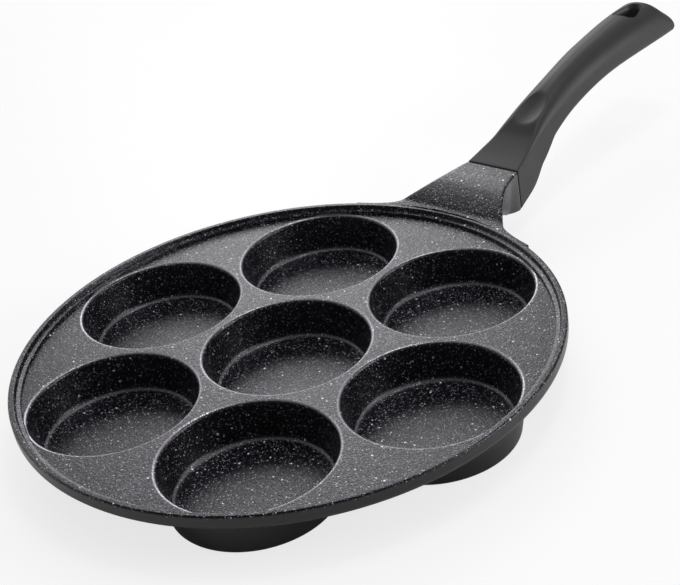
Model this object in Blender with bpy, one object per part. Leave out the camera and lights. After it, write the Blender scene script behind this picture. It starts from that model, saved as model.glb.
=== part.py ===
"""Seven-cup egg pan: a die-cast aluminium pan with a screwed-on phenolic handle.

Lengths are in metres and +Z is up. The origin is the centre of the middle cup's
underside, on the surface that the pan stands on. The handle points along +Y.
"""
import bpy
import bmesh
from math import atan2, cos, pi, radians, sin, sqrt, tan
from mathutils import Matrix, Vector

MM = 0.001

# Cups: one in the middle and a ring of them round it
CUP_PITCH = 84 * MM
RING_CUPS = 6
MOUTH_RADIUS = 40.3 * MM
MOUTH_ROUND = 0.8 * MM
CUP_DEPTH = 18.5 * MM
CUP_DRAFT = radians(11)
FLOOR_FILLET = 3.5 * MM
CUP_WALL = 2.5 * MM
CUP_FLOOR = 3 * MM
FOOT_ROUND = 1.2 * MM
ROOT_FILLET = 1.6 * MM

# Deck and the stepped rim round it, each size taken outwards or upwards from the deck
DECK_THICKNESS = 3.5 * MM
RIM_MARGIN = 0.5 * MM
LEDGE_RAMP = 0.6 * MM
LEDGE_WIDTH = 1.3 * MM
LEDGE_HEIGHT = 1.6 * MM
LIP_RAMP = 1.1 * MM
LIP_WIDTH = 2.2 * MM
LIP_HEIGHT = 4 * MM
RIM_UNDER_ROUND = 3 * MM

# Bracket: the fan that grows out of the rim and ends in the collar
BRACKET_REACH = 38 * MM
BRACKET_OVERLAP = 14 * MM
BRACKET_FLARE = 16.5 * MM
BRACKET_DROP = 7.6 * MM
BRACKET_PLATE = 4.6 * MM
FLANGE_EDGE = 4 * MM
WEB_SET_BACK = 2 * MM
COLLAR_HALF_WIDTH = 16.2 * MM
COLLAR_HEIGHT = 22.4 * MM
COLLAR_RISE = 12.1 * MM
COLLAR_CORNER = 1.2 * MM

# Tongue: the tang that the collar carries inside the handle
TONGUE_LENGTH = 24 * MM
TONGUE_OVERLAP = 4 * MM
TONGUE_TIP_TAPER = 0.8 * MM
TONGUE_HALF_WIDTH = 8.5 * MM
TONGUE_THICKNESS = 6 * MM
TONGUE_CORNER = 1.4 * MM
TONGUE_SLOPE = radians(26)
TONGUE_RISE = 1.3 * MM

# Handle, measured along +Y from the collar's face
HANDLE_LENGTH = 163 * MM
END_DROP = 11 * MM
END_SWELL = 26 * MM
END_PLAN_RADIUS = 200 * MM
END_EDGE_ROUND = 1 * MM
GRIP_BLEND_IN = 18 * MM
GRIP_BLEND_OUT = 30 * MM
GRIP_FOOT_ROUND = 3.6 * MM
GRIP_CROWN_WIDTH = 0.94
GRIP_CROWN_HEIGHT = 0.62
GRIP_NARROWING = 0.11
RECESS_PLACE = 38.5 * MM
RECESS_DEPTH = 1.8 * MM
RECESS_HALF_LENGTH = 13.8 * MM
RECESS_HALF_WIDTH = 8.4 * MM
RECESS_CURVE = 6 * MM
HANG_HOLE_SETBACK = 29.5 * MM
HANG_HOLE_LENGTH = 15 * MM
HANG_HOLE_HALF_WIDTH = 6.5 * MM
HANG_HOLE_CORNER = 2.6 * MM
HANG_HOLE_FAR_RADIUS = 4 * MM

# Screw joint between the handle and the tongue
SCREW_SETBACK = 7 * MM
SCREW_RADIUS = 2.5 * MM
SCREW_HEAD_RADIUS = 4.3 * MM
SCREW_HEAD_HEIGHT = 1.9 * MM
WASHER_RADIUS = 4.8 * MM
WASHER_THICKNESS = 0.8 * MM
SPRING_WASHER_RADIUS = 4.4 * MM
SPRING_WASHER_THICKNESS = 1 * MM
SPRING_WASHER_LIFT = 0.4 * MM
SPRING_WASHER_GAP = radians(16)
SEAT_FLOOR = 1.8 * MM
COUNTERBORE_CLEARANCE = 0.5 * MM
CLEARANCE = 0.3 * MM

# Fineness of the round shapes
CUP_SEGMENTS = 40
RIM_SEGMENTS = 88
SMALL_SEGMENTS = 24
CORNER_STEPS = 4
SIDE_STEPS = 5
FLAT_STEPS = 2
GRIP_STEPS = 25
BRACKET_STEPS = 15

# Worked out from the sizes above
DECK_TOP = CUP_FLOOR + CUP_DEPTH
DECK_UNDERSIDE = DECK_TOP - DECK_THICKNESS
LEDGE_FOOT = CUP_PITCH + MOUTH_RADIUS + RIM_MARGIN
LIP_FOOT = LEDGE_FOOT + LEDGE_RAMP + LEDGE_WIDTH
RIM_RADIUS = LIP_FOOT + LIP_RAMP + LIP_WIDTH
COLLAR_FACE = RIM_RADIUS + BRACKET_REACH
COLLAR_TOP = DECK_TOP + COLLAR_RISE
COLLAR_MIDDLE = COLLAR_TOP - COLLAR_HEIGHT / 2
TONGUE_ROOT = Vector((0, COLLAR_FACE, COLLAR_MIDDLE + TONGUE_RISE))
SCREW_SEAT = -TONGUE_THICKNESS / 2 - CLEARANCE - SEAT_FLOOR
HANG_HOLE_START = HANDLE_LENGTH - HANG_HOLE_SETBACK


def arc(centre_r, centre_z, radius, start, end, steps):
    """Points along an arc in the (r, z) plane, both ends included; angles in degrees."""
    angles = [radians(start + (end - start) * k / steps) for k in range(steps + 1)]
    return [(centre_r + radius * cos(a), centre_z + radius * sin(a)) for a in angles]


def smooth_curve(knots):
    """A smooth function through a few (place, value) knots, without overshoot between them."""
    places = [place for place, _ in knots]
    values = [value for _, value in knots]
    spans = [b - a for a, b in zip(places, places[1:])]
    slopes = [(b - a) / h for a, b, h in zip(values, values[1:], spans)]
    tangents = [slopes[0]]
    for before, after in zip(slopes, slopes[1:]):
        level = before * after <= 0
        tangents.append(0 if level else 2 * before * after / (before + after))
    tangents.append(slopes[-1])

    def value_at(place):
        k = 0
        while k < len(spans) - 1 and place > places[k + 1]:
            k += 1
        t = (place - places[k]) / spans[k]
        if t < 0:
            return values[0] + tangents[0] * (place - places[0])
        return (values[k] * (1 + 2 * t) * (1 - t) ** 2
                + tangents[k] * spans[k] * t * (1 - t) ** 2
                + values[k + 1] * t * t * (3 - 2 * t)
                - tangents[k + 1] * spans[k] * t * t * (1 - t))

    return value_at


def smooth_step(value):
    """0 below 0, 1 above 1, and an even S between."""
    value = min(max(value, 0), 1)
    return value * value * (3 - 2 * value)


def finish(bm, name, material=None):
    """Turn a bmesh into an object with outward faces; without a material it is a tool."""
    bmesh.ops.recalc_face_normals(bm, faces=bm.faces)
    mesh = bpy.data.meshes.new(name)
    bm.to_mesh(mesh)
    bm.free()
    mesh.shade_smooth()
    mesh.set_sharp_from_angle(angle=radians(32))
    thing = bpy.data.objects.new(name, mesh)
    bpy.context.scene.collection.objects.link(thing)
    if material:
        mesh.materials.append(material)
    else:
        thing.hide_render = True
        thing.display_type = 'WIRE'
    return thing


def turned(name, profile, segments, centre=(0, 0), material=None):
    """Spin a closed (r, z) profile, whose first and last points lie on the axis, about Z."""
    bm = bmesh.new()
    points = [bm.verts.new((centre[0] + r, centre[1], z)) for r, z in profile]
    edges = [bm.edges.new(pair) for pair in zip(points, points[1:])]
    bmesh.ops.spin(bm, geom=points + edges, cent=(centre[0], centre[1], 0), axis=(0, 0, 1),
                   angle=2 * pi, steps=segments, use_merge=True)
    bmesh.ops.remove_doubles(bm, verts=bm.verts, dist=0.001 * MM)
    return finish(bm, name, material)


def loft(name, rings, material=None, folded_end=False):
    """Skin a row of equal rings.

    A folded end closes the last ring, a rounded section, with upright strips from its
    upper to its lower half, so that the end follows the section's curve in plan.
    """
    bm = bmesh.new()
    loops = [[bm.verts.new(point) for point in ring] for ring in rings]
    count = len(loops[0])
    for near, far in zip(loops, loops[1:]):
        for k in range(count):
            bm.faces.new((near[k], near[(k + 1) % count], far[(k + 1) % count], far[k]))
    bm.faces.new(loops[0][::-1])
    if folded_end:
        last = loops[-1]
        half = count // 2
        outermost = FLAT_STEPS + CORNER_STEPS - 1
        for k in range(-outermost, outermost):
            bm.faces.new((last[k], last[k + 1], last[half - k - 1], last[half - k]))
        for side in (1, -1):
            bm.faces.new([last[side * k] for k in range(outermost, half - outermost + 1)])
    else:
        bm.faces.new(loops[-1])
    return finish(bm, name, material)


def combine(target, tool, operation):
    """Union or cut by a Boolean that stays live on the target."""
    modifier = target.modifiers.new(f"{operation.lower()}_{tool.name}", 'BOOLEAN')
    modifier.operation = operation
    modifier.solver = 'EXACT'
    modifier.object = tool


def rounded_section(half_width, height, crown_x, crown_z, foot, narrowing=0.0):
    """(x, z) round an upright section, from its top middle to +x and round.

    z is 0 at the top. The upper corners are ellipses, crown_x wide and crown_z high, so
    that large ones make an arch, and the lower corners have the radius foot. The
    narrowing draws the top in by that share, so that the sides lean.
    """
    flat = half_width - crown_x
    points = [(flat * k / FLAT_STEPS, 0) for k in range(FLAT_STEPS)]
    for k in range(CORNER_STEPS):
        angle = pi / 2 * k / CORNER_STEPS
        points.append((flat + crown_x * sin(angle), -crown_z * (1 - cos(angle))))
    side = height - crown_z - foot
    points += [(half_width, -crown_z - side * k / SIDE_STEPS) for k in range(SIDE_STEPS + 1)]
    bottom = half_width - foot
    for k in range(1, CORNER_STEPS + 1):
        angle = pi / 2 * k / CORNER_STEPS
        points.append((bottom + foot * cos(angle), foot * (1 - sin(angle)) - height))
    points += [(bottom * (1 - k / FLAT_STEPS), -height) for k in range(1, FLAT_STEPS + 1)]
    lean = height - foot
    right = [(x * (1 - narrowing * max(1 + z / lean, 0)), z) for x, z in points]
    left = [(-x, z) for x, z in reversed(right[1:-1])]
    return right + left


def hull_of_circles(circles, steps):
    """Outline round a set of (x, y, radius) circles, as a belt would lie on them."""
    outline = []
    for k in range(steps):
        angle = 2 * pi * (k + 0.5) / steps
        reach = [(x * cos(angle) + y * sin(angle) + r, x, y, r) for x, y, r in circles]
        _, x, y, r = max(reach)
        outline.append((x + r * cos(angle), y + r * sin(angle)))
    return outline


def coating():
    return surface("speckled_non_stick_coating", (0.036, 0.035, 0.039), 0.42, 0.0)


def phenolic():
    return surface("matt_phenolic_moulding", (0.052, 0.050, 0.051), 0.5, 0.0)


def steel():
    return surface("zinc_plated_steel", (0.55, 0.56, 0.58), 0.35, 1.0)


def surface(name, colour, roughness, metallic):
    material = bpy.data.materials.new(name)
    material.use_nodes = True
    shader = material.node_tree.nodes["Principled BSDF"]
    shader.inputs["Base Color"].default_value = (*colour, 1)
    shader.inputs["Roughness"].default_value = roughness
    shader.inputs["Metallic"].default_value = metallic
    return material


def cup_centres():
    ring = [2 * pi * k / RING_CUPS for k in range(RING_CUPS)]
    return [(0, 0)] + [(CUP_PITCH * cos(a), CUP_PITCH * sin(a)) for a in ring]


def inner_wall_radius(height):
    """Radius of the drafted inner wall at a height above the table."""
    start_r = MOUTH_RADIUS - MOUTH_ROUND * cos(CUP_DRAFT)
    start_z = DECK_TOP - MOUTH_ROUND * (1 - sin(CUP_DRAFT))
    return start_r + (height - start_z) * tan(CUP_DRAFT)


def outer_wall_radius(height):
    return inner_wall_radius(height) + CUP_WALL / cos(CUP_DRAFT)


def deck_and_rim(material):
    """The flat deck, the ledge inside the rim, and the rounded lip, in one turned profile."""
    draft = LIP_WIDTH / 2
    crest_r = RIM_RADIUS - draft
    crest_z = DECK_TOP + LIP_HEIGHT - draft
    ledge_z = DECK_TOP + LEDGE_HEIGHT
    edge = LEDGE_RAMP / 3
    profile = [(0, DECK_TOP), (LEDGE_FOOT, DECK_TOP)]
    profile += [(LEDGE_FOOT + LEDGE_RAMP - edge, ledge_z - edge), (LEDGE_FOOT + LEDGE_RAMP, ledge_z)]
    profile += [(LIP_FOOT, ledge_z)]
    profile += arc(crest_r, crest_z, draft, 165, 0, 5)
    under_r = RIM_RADIUS - RIM_UNDER_ROUND
    profile += arc(under_r, DECK_UNDERSIDE + RIM_UNDER_ROUND, RIM_UNDER_ROUND, 0, -90, 3)
    profile += [(0, DECK_UNDERSIDE)]
    return turned("pan_body", profile, RIM_SEGMENTS, material=material)


def cup_outside(centre, index):
    """Solid of one cup's outer shape, from its foot to a little inside the deck."""
    inside_deck = DECK_UNDERSIDE + DECK_THICKNESS / 3
    wall_angle = CUP_DRAFT * 180 / pi
    foot_r = outer_wall_radius(FOOT_ROUND) - FOOT_ROUND
    root_z = DECK_UNDERSIDE - ROOT_FILLET
    root_r = outer_wall_radius(root_z) + ROOT_FILLET
    profile = [(0, 0)] + arc(foot_r, FOOT_ROUND, FOOT_ROUND, -90, -wall_angle, 2)
    profile += arc(root_r, root_z, ROOT_FILLET, 180 - wall_angle, 105, 2)
    profile += [(root_r, inside_deck), (0, inside_deck)]
    return turned(f"cup_outside_{index}", profile, CUP_SEGMENTS, centre)


def cup_inside(centre, index):
    """Cutter of one cup: floor, fillet, drafted wall and the round of its mouth."""
    wall_angle = CUP_DRAFT * 180 / pi
    fillet_z = CUP_FLOOR + FLOOR_FILLET
    touch_z = fillet_z - FLOOR_FILLET * sin(CUP_DRAFT)
    floor_r = inner_wall_radius(touch_z) - FLOOR_FILLET * cos(CUP_DRAFT)
    above = DECK_TOP + MOUTH_ROUND
    profile = [(0, CUP_FLOOR)] + arc(floor_r, fillet_z, FLOOR_FILLET, -90, -wall_angle, 3)
    profile += arc(MOUTH_RADIUS, DECK_TOP - MOUTH_ROUND, MOUTH_ROUND, 180 - wall_angle, 100, 2)
    profile += [(profile[-1][0], above), (0, above)]
    return turned(f"cup_inside_{index}", profile, CUP_SEGMENTS, centre)


def bracket():
    """The fan: a thin flange that flares into the rim and deepens into the collar.

    Every section is the collar's rounded rectangle. Towards the rim it grows wider and
    sinks, and below the flange's edge it is drawn in to a web a little narrower than the collar.
    """
    root = RIM_RADIUS - BRACKET_OVERLAP
    plate_bottom = DECK_TOP + COLLAR_RISE - BRACKET_DROP - BRACKET_PLATE
    bottom_of = smooth_curve([
        (0, COLLAR_TOP - COLLAR_HEIGHT),
        (0.34, COLLAR_TOP - COLLAR_HEIGHT * 0.84),
        (0.6, plate_bottom - BRACKET_PLATE * 0.6),
        (0.82, plate_bottom - BRACKET_PLATE * 0.15),
        (1.0, plate_bottom),
        (1.4, plate_bottom),
    ])
    rings = []
    for k in range(BRACKET_STEPS + 1):
        y = root + (COLLAR_FACE - root) * k / BRACKET_STEPS
        back = (COLLAR_FACE - y) / BRACKET_REACH
        half_width = COLLAR_HALF_WIDTH + BRACKET_FLARE * back ** 2
        top = COLLAR_TOP - BRACKET_DROP * min(back, 1.02) ** 2
        height = top - bottom_of(back)
        web = COLLAR_HALF_WIDTH - WEB_SET_BACK * smooth_step(back * 3)
        web += (half_width - web) * smooth_step(back * 2 - 1)
        edge = FLANGE_EDGE + COLLAR_CORNER
        ring = []
        for x, z in rounded_section(half_width, height, COLLAR_CORNER, COLLAR_CORNER, COLLAR_CORNER):
            sunk = smooth_step((-z - edge) / max(height - edge, 0.1 * MM) * 1.6)
            drawn_in = 1 - (1 - web / half_width) * sunk
            ring.append((x * drawn_in, y, top + z))
        rings.append(ring)
    return loft("bracket", rings)


def rim_bore():
    """Cutter that keeps the bracket out of the pan: it ends inside the lip's own metal."""
    radius = RIM_RADIUS - LIP_WIDTH * 0.6
    low = DECK_TOP - 2 * COLLAR_HEIGHT
    high = DECK_TOP + 2 * COLLAR_HEIGHT
    profile = [(0, low), (radius, low), (radius, high), (0, high)]
    return turned("rim_bore", profile, RIM_SEGMENTS)


def tongue_frame(along=0.0):
    """Frame on the tongue's middle plane: its Y runs out along the tongue, its Z is square to it."""
    turn = Matrix.Rotation(TONGUE_SLOPE, 4, 'X')
    return Matrix.Translation(TONGUE_ROOT) @ turn @ Matrix.Translation((0, along, 0))


def tongue_shape(name, start, end, grown):
    """The tongue's bar between two places on its axis, grown on every side by a clearance."""
    half_width = TONGUE_HALF_WIDTH + grown
    height = TONGUE_THICKNESS + 2 * grown
    rings = []
    for place, narrower in ((start, 0), (end - TONGUE_TIP_TAPER, 0), (end, TONGUE_TIP_TAPER)):
        corners = (TONGUE_CORNER, TONGUE_CORNER, TONGUE_CORNER)
        section = rounded_section(half_width - narrower, height - 2 * narrower, *corners)
        lift = height / 2 - narrower
        rings.append([tongue_frame(place) @ Vector((x, 0, z + lift)) for x, z in section])
    return loft(name, rings)


def drilled(name, steps):
    """A round, stepped cutter on the screw's axis.

    Each step is (radius, bottom, top), with heights in the tongue's frame, from below.
    """
    profile = [(0, steps[0][1])]
    for radius, bottom, top in steps:
        profile += [(radius, bottom), (radius, top)]
    profile.append((0, steps[-1][2]))
    cutter = turned(name, profile, SMALL_SEGMENTS)
    cutter.matrix_world = tongue_frame(SCREW_SETBACK)
    return cutter


def pan_body():
    body = deck_and_rim(coating())
    for index, centre in enumerate(cup_centres()):
        combine(body, cup_outside(centre, index), 'UNION')
    fan = bracket()
    combine(fan, rim_bore(), 'DIFFERENCE')
    combine(body, fan, 'UNION')
    combine(body, tongue_shape("tongue", -TONGUE_OVERLAP, TONGUE_LENGTH, 0), 'UNION')
    for index, centre in enumerate(cup_centres()):
        combine(body, cup_inside(centre, index), 'DIFFERENCE')
    hole = [(SCREW_RADIUS + CLEARANCE, -TONGUE_THICKNESS, TONGUE_THICKNESS)]
    combine(body, drilled("screw_hole", hole), 'DIFFERENCE')
    return body


# The handle's own curves, as (distance from the collar's face, value) knots
HANDLE_RISE = smooth_curve([(0, 0), (10 * MM, 2.9 * MM), (22 * MM, 7.4 * MM), (37 * MM, 15.6 * MM),
                            (62 * MM, 24 * MM), (97 * MM, 30.1 * MM), (HANDLE_LENGTH - END_SWELL, 32.5 * MM),
                            (HANDLE_LENGTH - END_DROP, 32.2 * MM), (HANDLE_LENGTH, 24.2 * MM)])
HANDLE_HALF_WIDTH = smooth_curve([(0, COLLAR_HALF_WIDTH), (10 * MM, 15 * MM), (22 * MM, 13 * MM),
                                  (37 * MM, 12.6 * MM), (62 * MM, 12.4 * MM), (97 * MM, 13.7 * MM),
                                  (HANDLE_LENGTH - END_SWELL, 16 * MM), (HANDLE_LENGTH, 16.7 * MM)])
HANDLE_THICKNESS = smooth_curve([(0, COLLAR_HEIGHT), (10 * MM, 21 * MM), (22 * MM, 16.4 * MM),
                                 (62 * MM, 16.8 * MM), (97 * MM, 17.3 * MM),
                                 (HANDLE_LENGTH - END_SWELL, 18.9 * MM), (HANDLE_LENGTH - END_DROP, 19 * MM),
                                 (HANDLE_LENGTH, 11 * MM)])
HANDLE_ROUNDNESS = smooth_curve([(0, 0), (10 * MM, 0.05), (22 * MM, 0.13), (37 * MM, 0.6),
                                 (62 * MM, 0.95), (HANDLE_LENGTH, 1)])


def handle_slope(place):
    """Lean of a section, square to the handle's back; at the collar and the end it is upright."""
    step = 1 * MM
    slope = atan2(HANDLE_RISE(place + step) - HANDLE_RISE(place), step)
    blend = smooth_step(place / GRIP_BLEND_IN) * smooth_step((HANDLE_LENGTH - place) / GRIP_BLEND_OUT)
    return slope * blend


def handle_frame(place):
    """Frame on the middle of the handle's back: Y follows the back, Z is square to it."""
    top = Vector((0, COLLAR_FACE + place, COLLAR_TOP + HANDLE_RISE(place)))
    return Matrix.Translation(top) @ Matrix.Rotation(handle_slope(place), 4, 'X')


def handle_ring(place, smaller=0.0):
    """One section of the handle, from a rounded rectangle at the collar to an arch."""
    half_width = HANDLE_HALF_WIDTH(place)
    height = HANDLE_THICKNESS(place)
    roundness = HANDLE_ROUNDNESS(place)
    crown_x = COLLAR_CORNER + (half_width * GRIP_CROWN_WIDTH - COLLAR_CORNER) * roundness
    crown_z = COLLAR_CORNER + (height * GRIP_CROWN_HEIGHT - COLLAR_CORNER) * roundness
    foot = COLLAR_CORNER + (GRIP_FOOT_ROUND - COLLAR_CORNER) * roundness
    section = rounded_section(half_width, height, crown_x, crown_z, foot, GRIP_NARROWING * roundness)
    shrink = 1 - smaller / half_width
    bend = smooth_step(1 - (HANDLE_LENGTH - place) / GRIP_BLEND_OUT) / (2 * END_PLAN_RADIUS)
    frame = handle_frame(place)
    middle = -height / 2
    return [frame @ Vector((x * shrink, -bend * x * x, middle + (z - middle) * shrink)) for x, z in section]


def handle():
    drop = HANDLE_LENGTH - END_DROP
    end = HANDLE_LENGTH - END_EDGE_ROUND
    rings = [handle_ring(CLEARANCE + (drop - CLEARANCE) * k / GRIP_STEPS) for k in range(GRIP_STEPS)]
    rings += [handle_ring(drop + (end - drop) * k / CORNER_STEPS) for k in range(CORNER_STEPS + 1)]
    for k in range(1, CORNER_STEPS):
        angle = pi / 2 * k / (CORNER_STEPS - 1)
        rings.append(handle_ring(end + END_EDGE_ROUND * sin(angle), END_EDGE_ROUND * (1 - cos(angle))))
    grip = loft("handle", rings, phenolic(), folded_end=True)

    before_collar = -3 * TONGUE_OVERLAP
    socket = tongue_shape("socket", before_collar, TONGUE_LENGTH + CLEARANCE, CLEARANCE)
    combine(grip, socket, 'DIFFERENCE')

    counterbore = (WASHER_RADIUS + COUNTERBORE_CLEARANCE, SCREW_SEAT - COLLAR_HEIGHT, SCREW_SEAT)
    passage = (SCREW_RADIUS + CLEARANCE, SCREW_SEAT, 0)
    combine(grip, drilled("screw_passage", [counterbore, passage]), 'DIFFERENCE')

    combine(grip, thumb_recess(), 'DIFFERENCE')
    combine(grip, hanging_hole(), 'DIFFERENCE')
    return grip


def thumb_recess():
    """Part of an ellipsoid that leaves a shallow oval dish of the stated size and depth."""
    lift = RECESS_CURVE - RECESS_DEPTH
    cut_share = sqrt(1 - (lift / RECESS_CURVE) ** 2)
    bm = bmesh.new()
    bmesh.ops.create_uvsphere(bm, u_segments=28, v_segments=16, radius=1)
    size = (RECESS_HALF_WIDTH / cut_share, RECESS_HALF_LENGTH / cut_share, RECESS_CURVE)
    bmesh.ops.scale(bm, vec=size, verts=bm.verts)
    bmesh.ops.translate(bm, vec=(0, 0, lift), verts=bm.verts)
    cutter = finish(bm, "thumb_recess")
    cutter.matrix_world = handle_frame(RECESS_PLACE)
    return cutter


def hanging_hole():
    """Through cutter: a straight side towards the pan and a narrower round far end."""
    near = HANG_HOLE_START + HANG_HOLE_CORNER
    far = HANG_HOLE_START + HANG_HOLE_LENGTH - HANG_HOLE_FAR_RADIUS
    side = HANG_HOLE_HALF_WIDTH - HANG_HOLE_CORNER
    circles = [(-side, near, HANG_HOLE_CORNER), (side, near, HANG_HOLE_CORNER), (0, far, HANG_HOLE_FAR_RADIUS)]
    outline = hull_of_circles(circles, 28)
    below = COLLAR_TOP
    above = COLLAR_TOP + COLLAR_HEIGHT * 2
    rings = [[(x, COLLAR_FACE + y, z) for x, y in outline] for z in (below, above)]
    return loft("hanging_hole", rings)


def fasteners():
    """Screw, spring washer and flat washer, stacked outwards from the seat in the handle."""
    metal = steel()
    washer_top = SCREW_SEAT - CLEARANCE
    washer_bottom = washer_top - WASHER_THICKNESS
    bore = SCREW_RADIUS + CLEARANCE
    frame = tongue_frame(SCREW_SETBACK)
    washer = ring_plate("flat_washer", bore, WASHER_RADIUS, washer_bottom, washer_top, metal)
    washer.matrix_world = frame

    spring_top = washer_bottom - CLEARANCE
    spring = spring_washer(spring_top - SPRING_WASHER_LIFT - SPRING_WASHER_THICKNESS, bore, metal)
    spring.matrix_world = frame

    head_top = spring_top - SPRING_WASHER_LIFT - SPRING_WASHER_THICKNESS - CLEARANCE
    tip = TONGUE_THICKNESS / 2 - CLEARANCE
    head_bottom = head_top - SCREW_HEAD_HEIGHT
    dome = SCREW_HEAD_HEIGHT * 0.45
    profile = [(0, head_bottom), (SCREW_HEAD_RADIUS * 0.55, head_bottom)]
    profile += [(SCREW_HEAD_RADIUS * 0.88, head_bottom + dome * 0.4), (SCREW_HEAD_RADIUS, head_bottom + dome)]
    profile += [(SCREW_HEAD_RADIUS, head_top), (SCREW_RADIUS, head_top)]
    profile += [(SCREW_RADIUS, tip - 0.8 * MM), (SCREW_RADIUS - 0.6 * MM, tip), (0, tip)]
    screw = turned("handle_screw", profile, SMALL_SEGMENTS, material=metal)
    screw.matrix_world = frame
    for index, turn in enumerate((0, pi / 2)):
        combine(screw, recess_blade(index, turn, head_bottom, frame), 'DIFFERENCE')


def recess_blade(index, turn, head_bottom, frame):
    """One tapered blade of the cross in the screw's head."""
    reach = SCREW_HEAD_RADIUS * 0.52
    depth = SCREW_HEAD_HEIGHT * 0.6
    half_thickness = 0.45 * MM
    rings = []
    for z, share in ((head_bottom - depth, 1.25), (head_bottom + depth, 0.55)):
        corners = ((1, 1), (-1, 1), (-1, -1), (1, -1))
        rings.append([(reach * share * a, half_thickness * b, z) for a, b in corners])
    blade = loft(f"recess_blade_{index}", rings)
    blade.matrix_world = frame @ Matrix.Rotation(turn, 4, 'Z')
    return blade


def ring_plate(name, inner, outer, bottom, top, material):
    """A flat washer, turned from its rectangular section."""
    bm = bmesh.new()
    corners = ((inner, bottom), (outer, bottom), (outer, top), (inner, top))
    points = [bm.verts.new((r, 0, z)) for r, z in corners]
    edges = [bm.edges.new((points[k], points[(k + 1) % 4])) for k in range(4)]
    bmesh.ops.spin(bm, geom=points + edges, cent=(0, 0, 0), axis=(0, 0, 1),
                   angle=2 * pi, steps=SMALL_SEGMENTS, use_merge=True)
    return finish(bm, name, material)


def spring_washer(bottom, inner, material):
    """A split ring whose square section climbs by the lift from one cut end to the other."""
    rings = []
    for k in range(SMALL_SEGMENTS + 1):
        share = k / SMALL_SEGMENTS
        angle = SPRING_WASHER_GAP / 2 + (2 * pi - SPRING_WASHER_GAP) * share
        low = bottom + SPRING_WASHER_LIFT * share
        high = low + SPRING_WASHER_THICKNESS
        corners = ((inner, low), (SPRING_WASHER_RADIUS, low), (SPRING_WASHER_RADIUS, high), (inner, high))
        rings.append([(r * cos(angle), r * sin(angle), z) for r, z in corners])
    return loft("spring_washer", rings, material)


for leftover in list(bpy.data.objects):
    bpy.data.objects.remove(leftover)
pan_body()
handle()
fasteners()
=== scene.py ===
"""Looks of the seven-cup egg pan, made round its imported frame.

Sizes are in millimetres and become metres where a mesh is made. The table is z = 0, the
middle cup stands on the origin and the handle points along +Y.
"""
import math
import bpy
import bmesh
import numpy as np
from mathutils import Matrix


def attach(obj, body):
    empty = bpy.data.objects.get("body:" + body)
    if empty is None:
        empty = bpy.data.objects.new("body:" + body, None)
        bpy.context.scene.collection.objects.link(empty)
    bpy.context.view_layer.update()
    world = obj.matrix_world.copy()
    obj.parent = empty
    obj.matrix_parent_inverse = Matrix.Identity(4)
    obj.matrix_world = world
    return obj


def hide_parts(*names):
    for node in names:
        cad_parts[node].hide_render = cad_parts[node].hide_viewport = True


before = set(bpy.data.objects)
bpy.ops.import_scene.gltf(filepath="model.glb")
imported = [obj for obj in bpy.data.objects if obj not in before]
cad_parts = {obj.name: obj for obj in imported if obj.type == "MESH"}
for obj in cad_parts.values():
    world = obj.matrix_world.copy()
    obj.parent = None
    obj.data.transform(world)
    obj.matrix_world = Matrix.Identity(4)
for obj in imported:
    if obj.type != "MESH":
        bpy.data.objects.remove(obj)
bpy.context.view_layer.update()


# Pan casting: one die-cast aluminium piece, seven cups let into a flat deck with a stepped
# rim round it. Cast with drafted cup walls and rounded mouths, then sprayed inside and out.
MM = 0.001
PITCH = 84.0
RING_CUPS = 6
CUP_DEPTH = 18.5
CUP_FLOOR = 3.0
CUP_WALL = 2.5
CUP_DRAFT = math.radians(11)
WALL_SLOPE = math.tan(CUP_DRAFT)
MOUTH_RADIUS = 41.0
MOUTH_ROUND = 1.9
MOUTH_LAND = MOUTH_RADIUS + 0.4
FLOOR_ROUND = 3.0
FOOT_ROUND = 1.2
ROOT_ROUND = 1.6
DECK_TOP = CUP_FLOOR + CUP_DEPTH
DECK_UNDER = DECK_TOP - 3.5
LEDGE_FOOT = 124.1
LEDGE_INNER = 124.5
LEDGE_OUTER = 126.5
LEDGE_TOP = DECK_TOP + 2.0
LIP_TOP = DECK_TOP + 4.0
LIP_INNER = 127.1
RIM_RADIUS = 130.0
COATING_END = LIP_TOP - 1.3
UNDER_ROUND = 3.0
RIM_STEPS = 84
SIDE_STEPS = 40
INNER_STEPS = 30

# The mouth's arc ends on the deck at the mouth's radius. The wall, carried on past that arc,
# would meet the deck at this radius.
WALL_TOP = (MOUTH_RADIUS - MOUTH_ROUND * math.cos(CUP_DRAFT)
            + MOUTH_ROUND * (1 - math.sin(CUP_DRAFT)) * WALL_SLOPE)


def rounded(corners, steps=5, support=0.3):
    """An (r, z) outline with rounded corners.

    Each corner is (r, z, radius). Its arc starts and ends radius * tan(turn / 2) before and
    after the corner, and one more point stands a little off each arc, to keep flats flat.
    """
    points = [corners[0][:2]]
    for before, here, after in zip(corners, corners[1:], corners[2:]):
        corner = np.array(here[:2], float)
        back = np.array(before[:2]) - corner
        ahead = np.array(after[:2]) - corner
        back_length = np.linalg.norm(back)
        ahead_length = np.linalg.norm(ahead)
        back /= back_length
        ahead /= ahead_length
        half = np.arccos(np.clip(back @ ahead, -1, 1)) / 2
        reach = here[2] / np.tan(half)
        bisector = (back + ahead) / np.linalg.norm(back + ahead)
        centre = corner + bisector * here[2] / np.sin(half)
        first = corner + back * reach - centre
        last = corner + ahead * reach - centre
        share = np.linspace(0, 1, steps + 1)[:, None]
        turn = math.pi - 2 * half
        arc = (first * np.sin((1 - share) * turn) + last * np.sin(share * turn)) / math.sin(turn)
        if back_length > reach + 2 * support:
            points.append(tuple(corner + back * (reach + support)))
        points += [tuple(p) for p in arc + centre]
        if ahead_length > reach + 2 * support:
            points.append(tuple(corner + ahead * (reach + support)))
    points.append(corners[-1][:2])
    return np.array(points)


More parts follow.
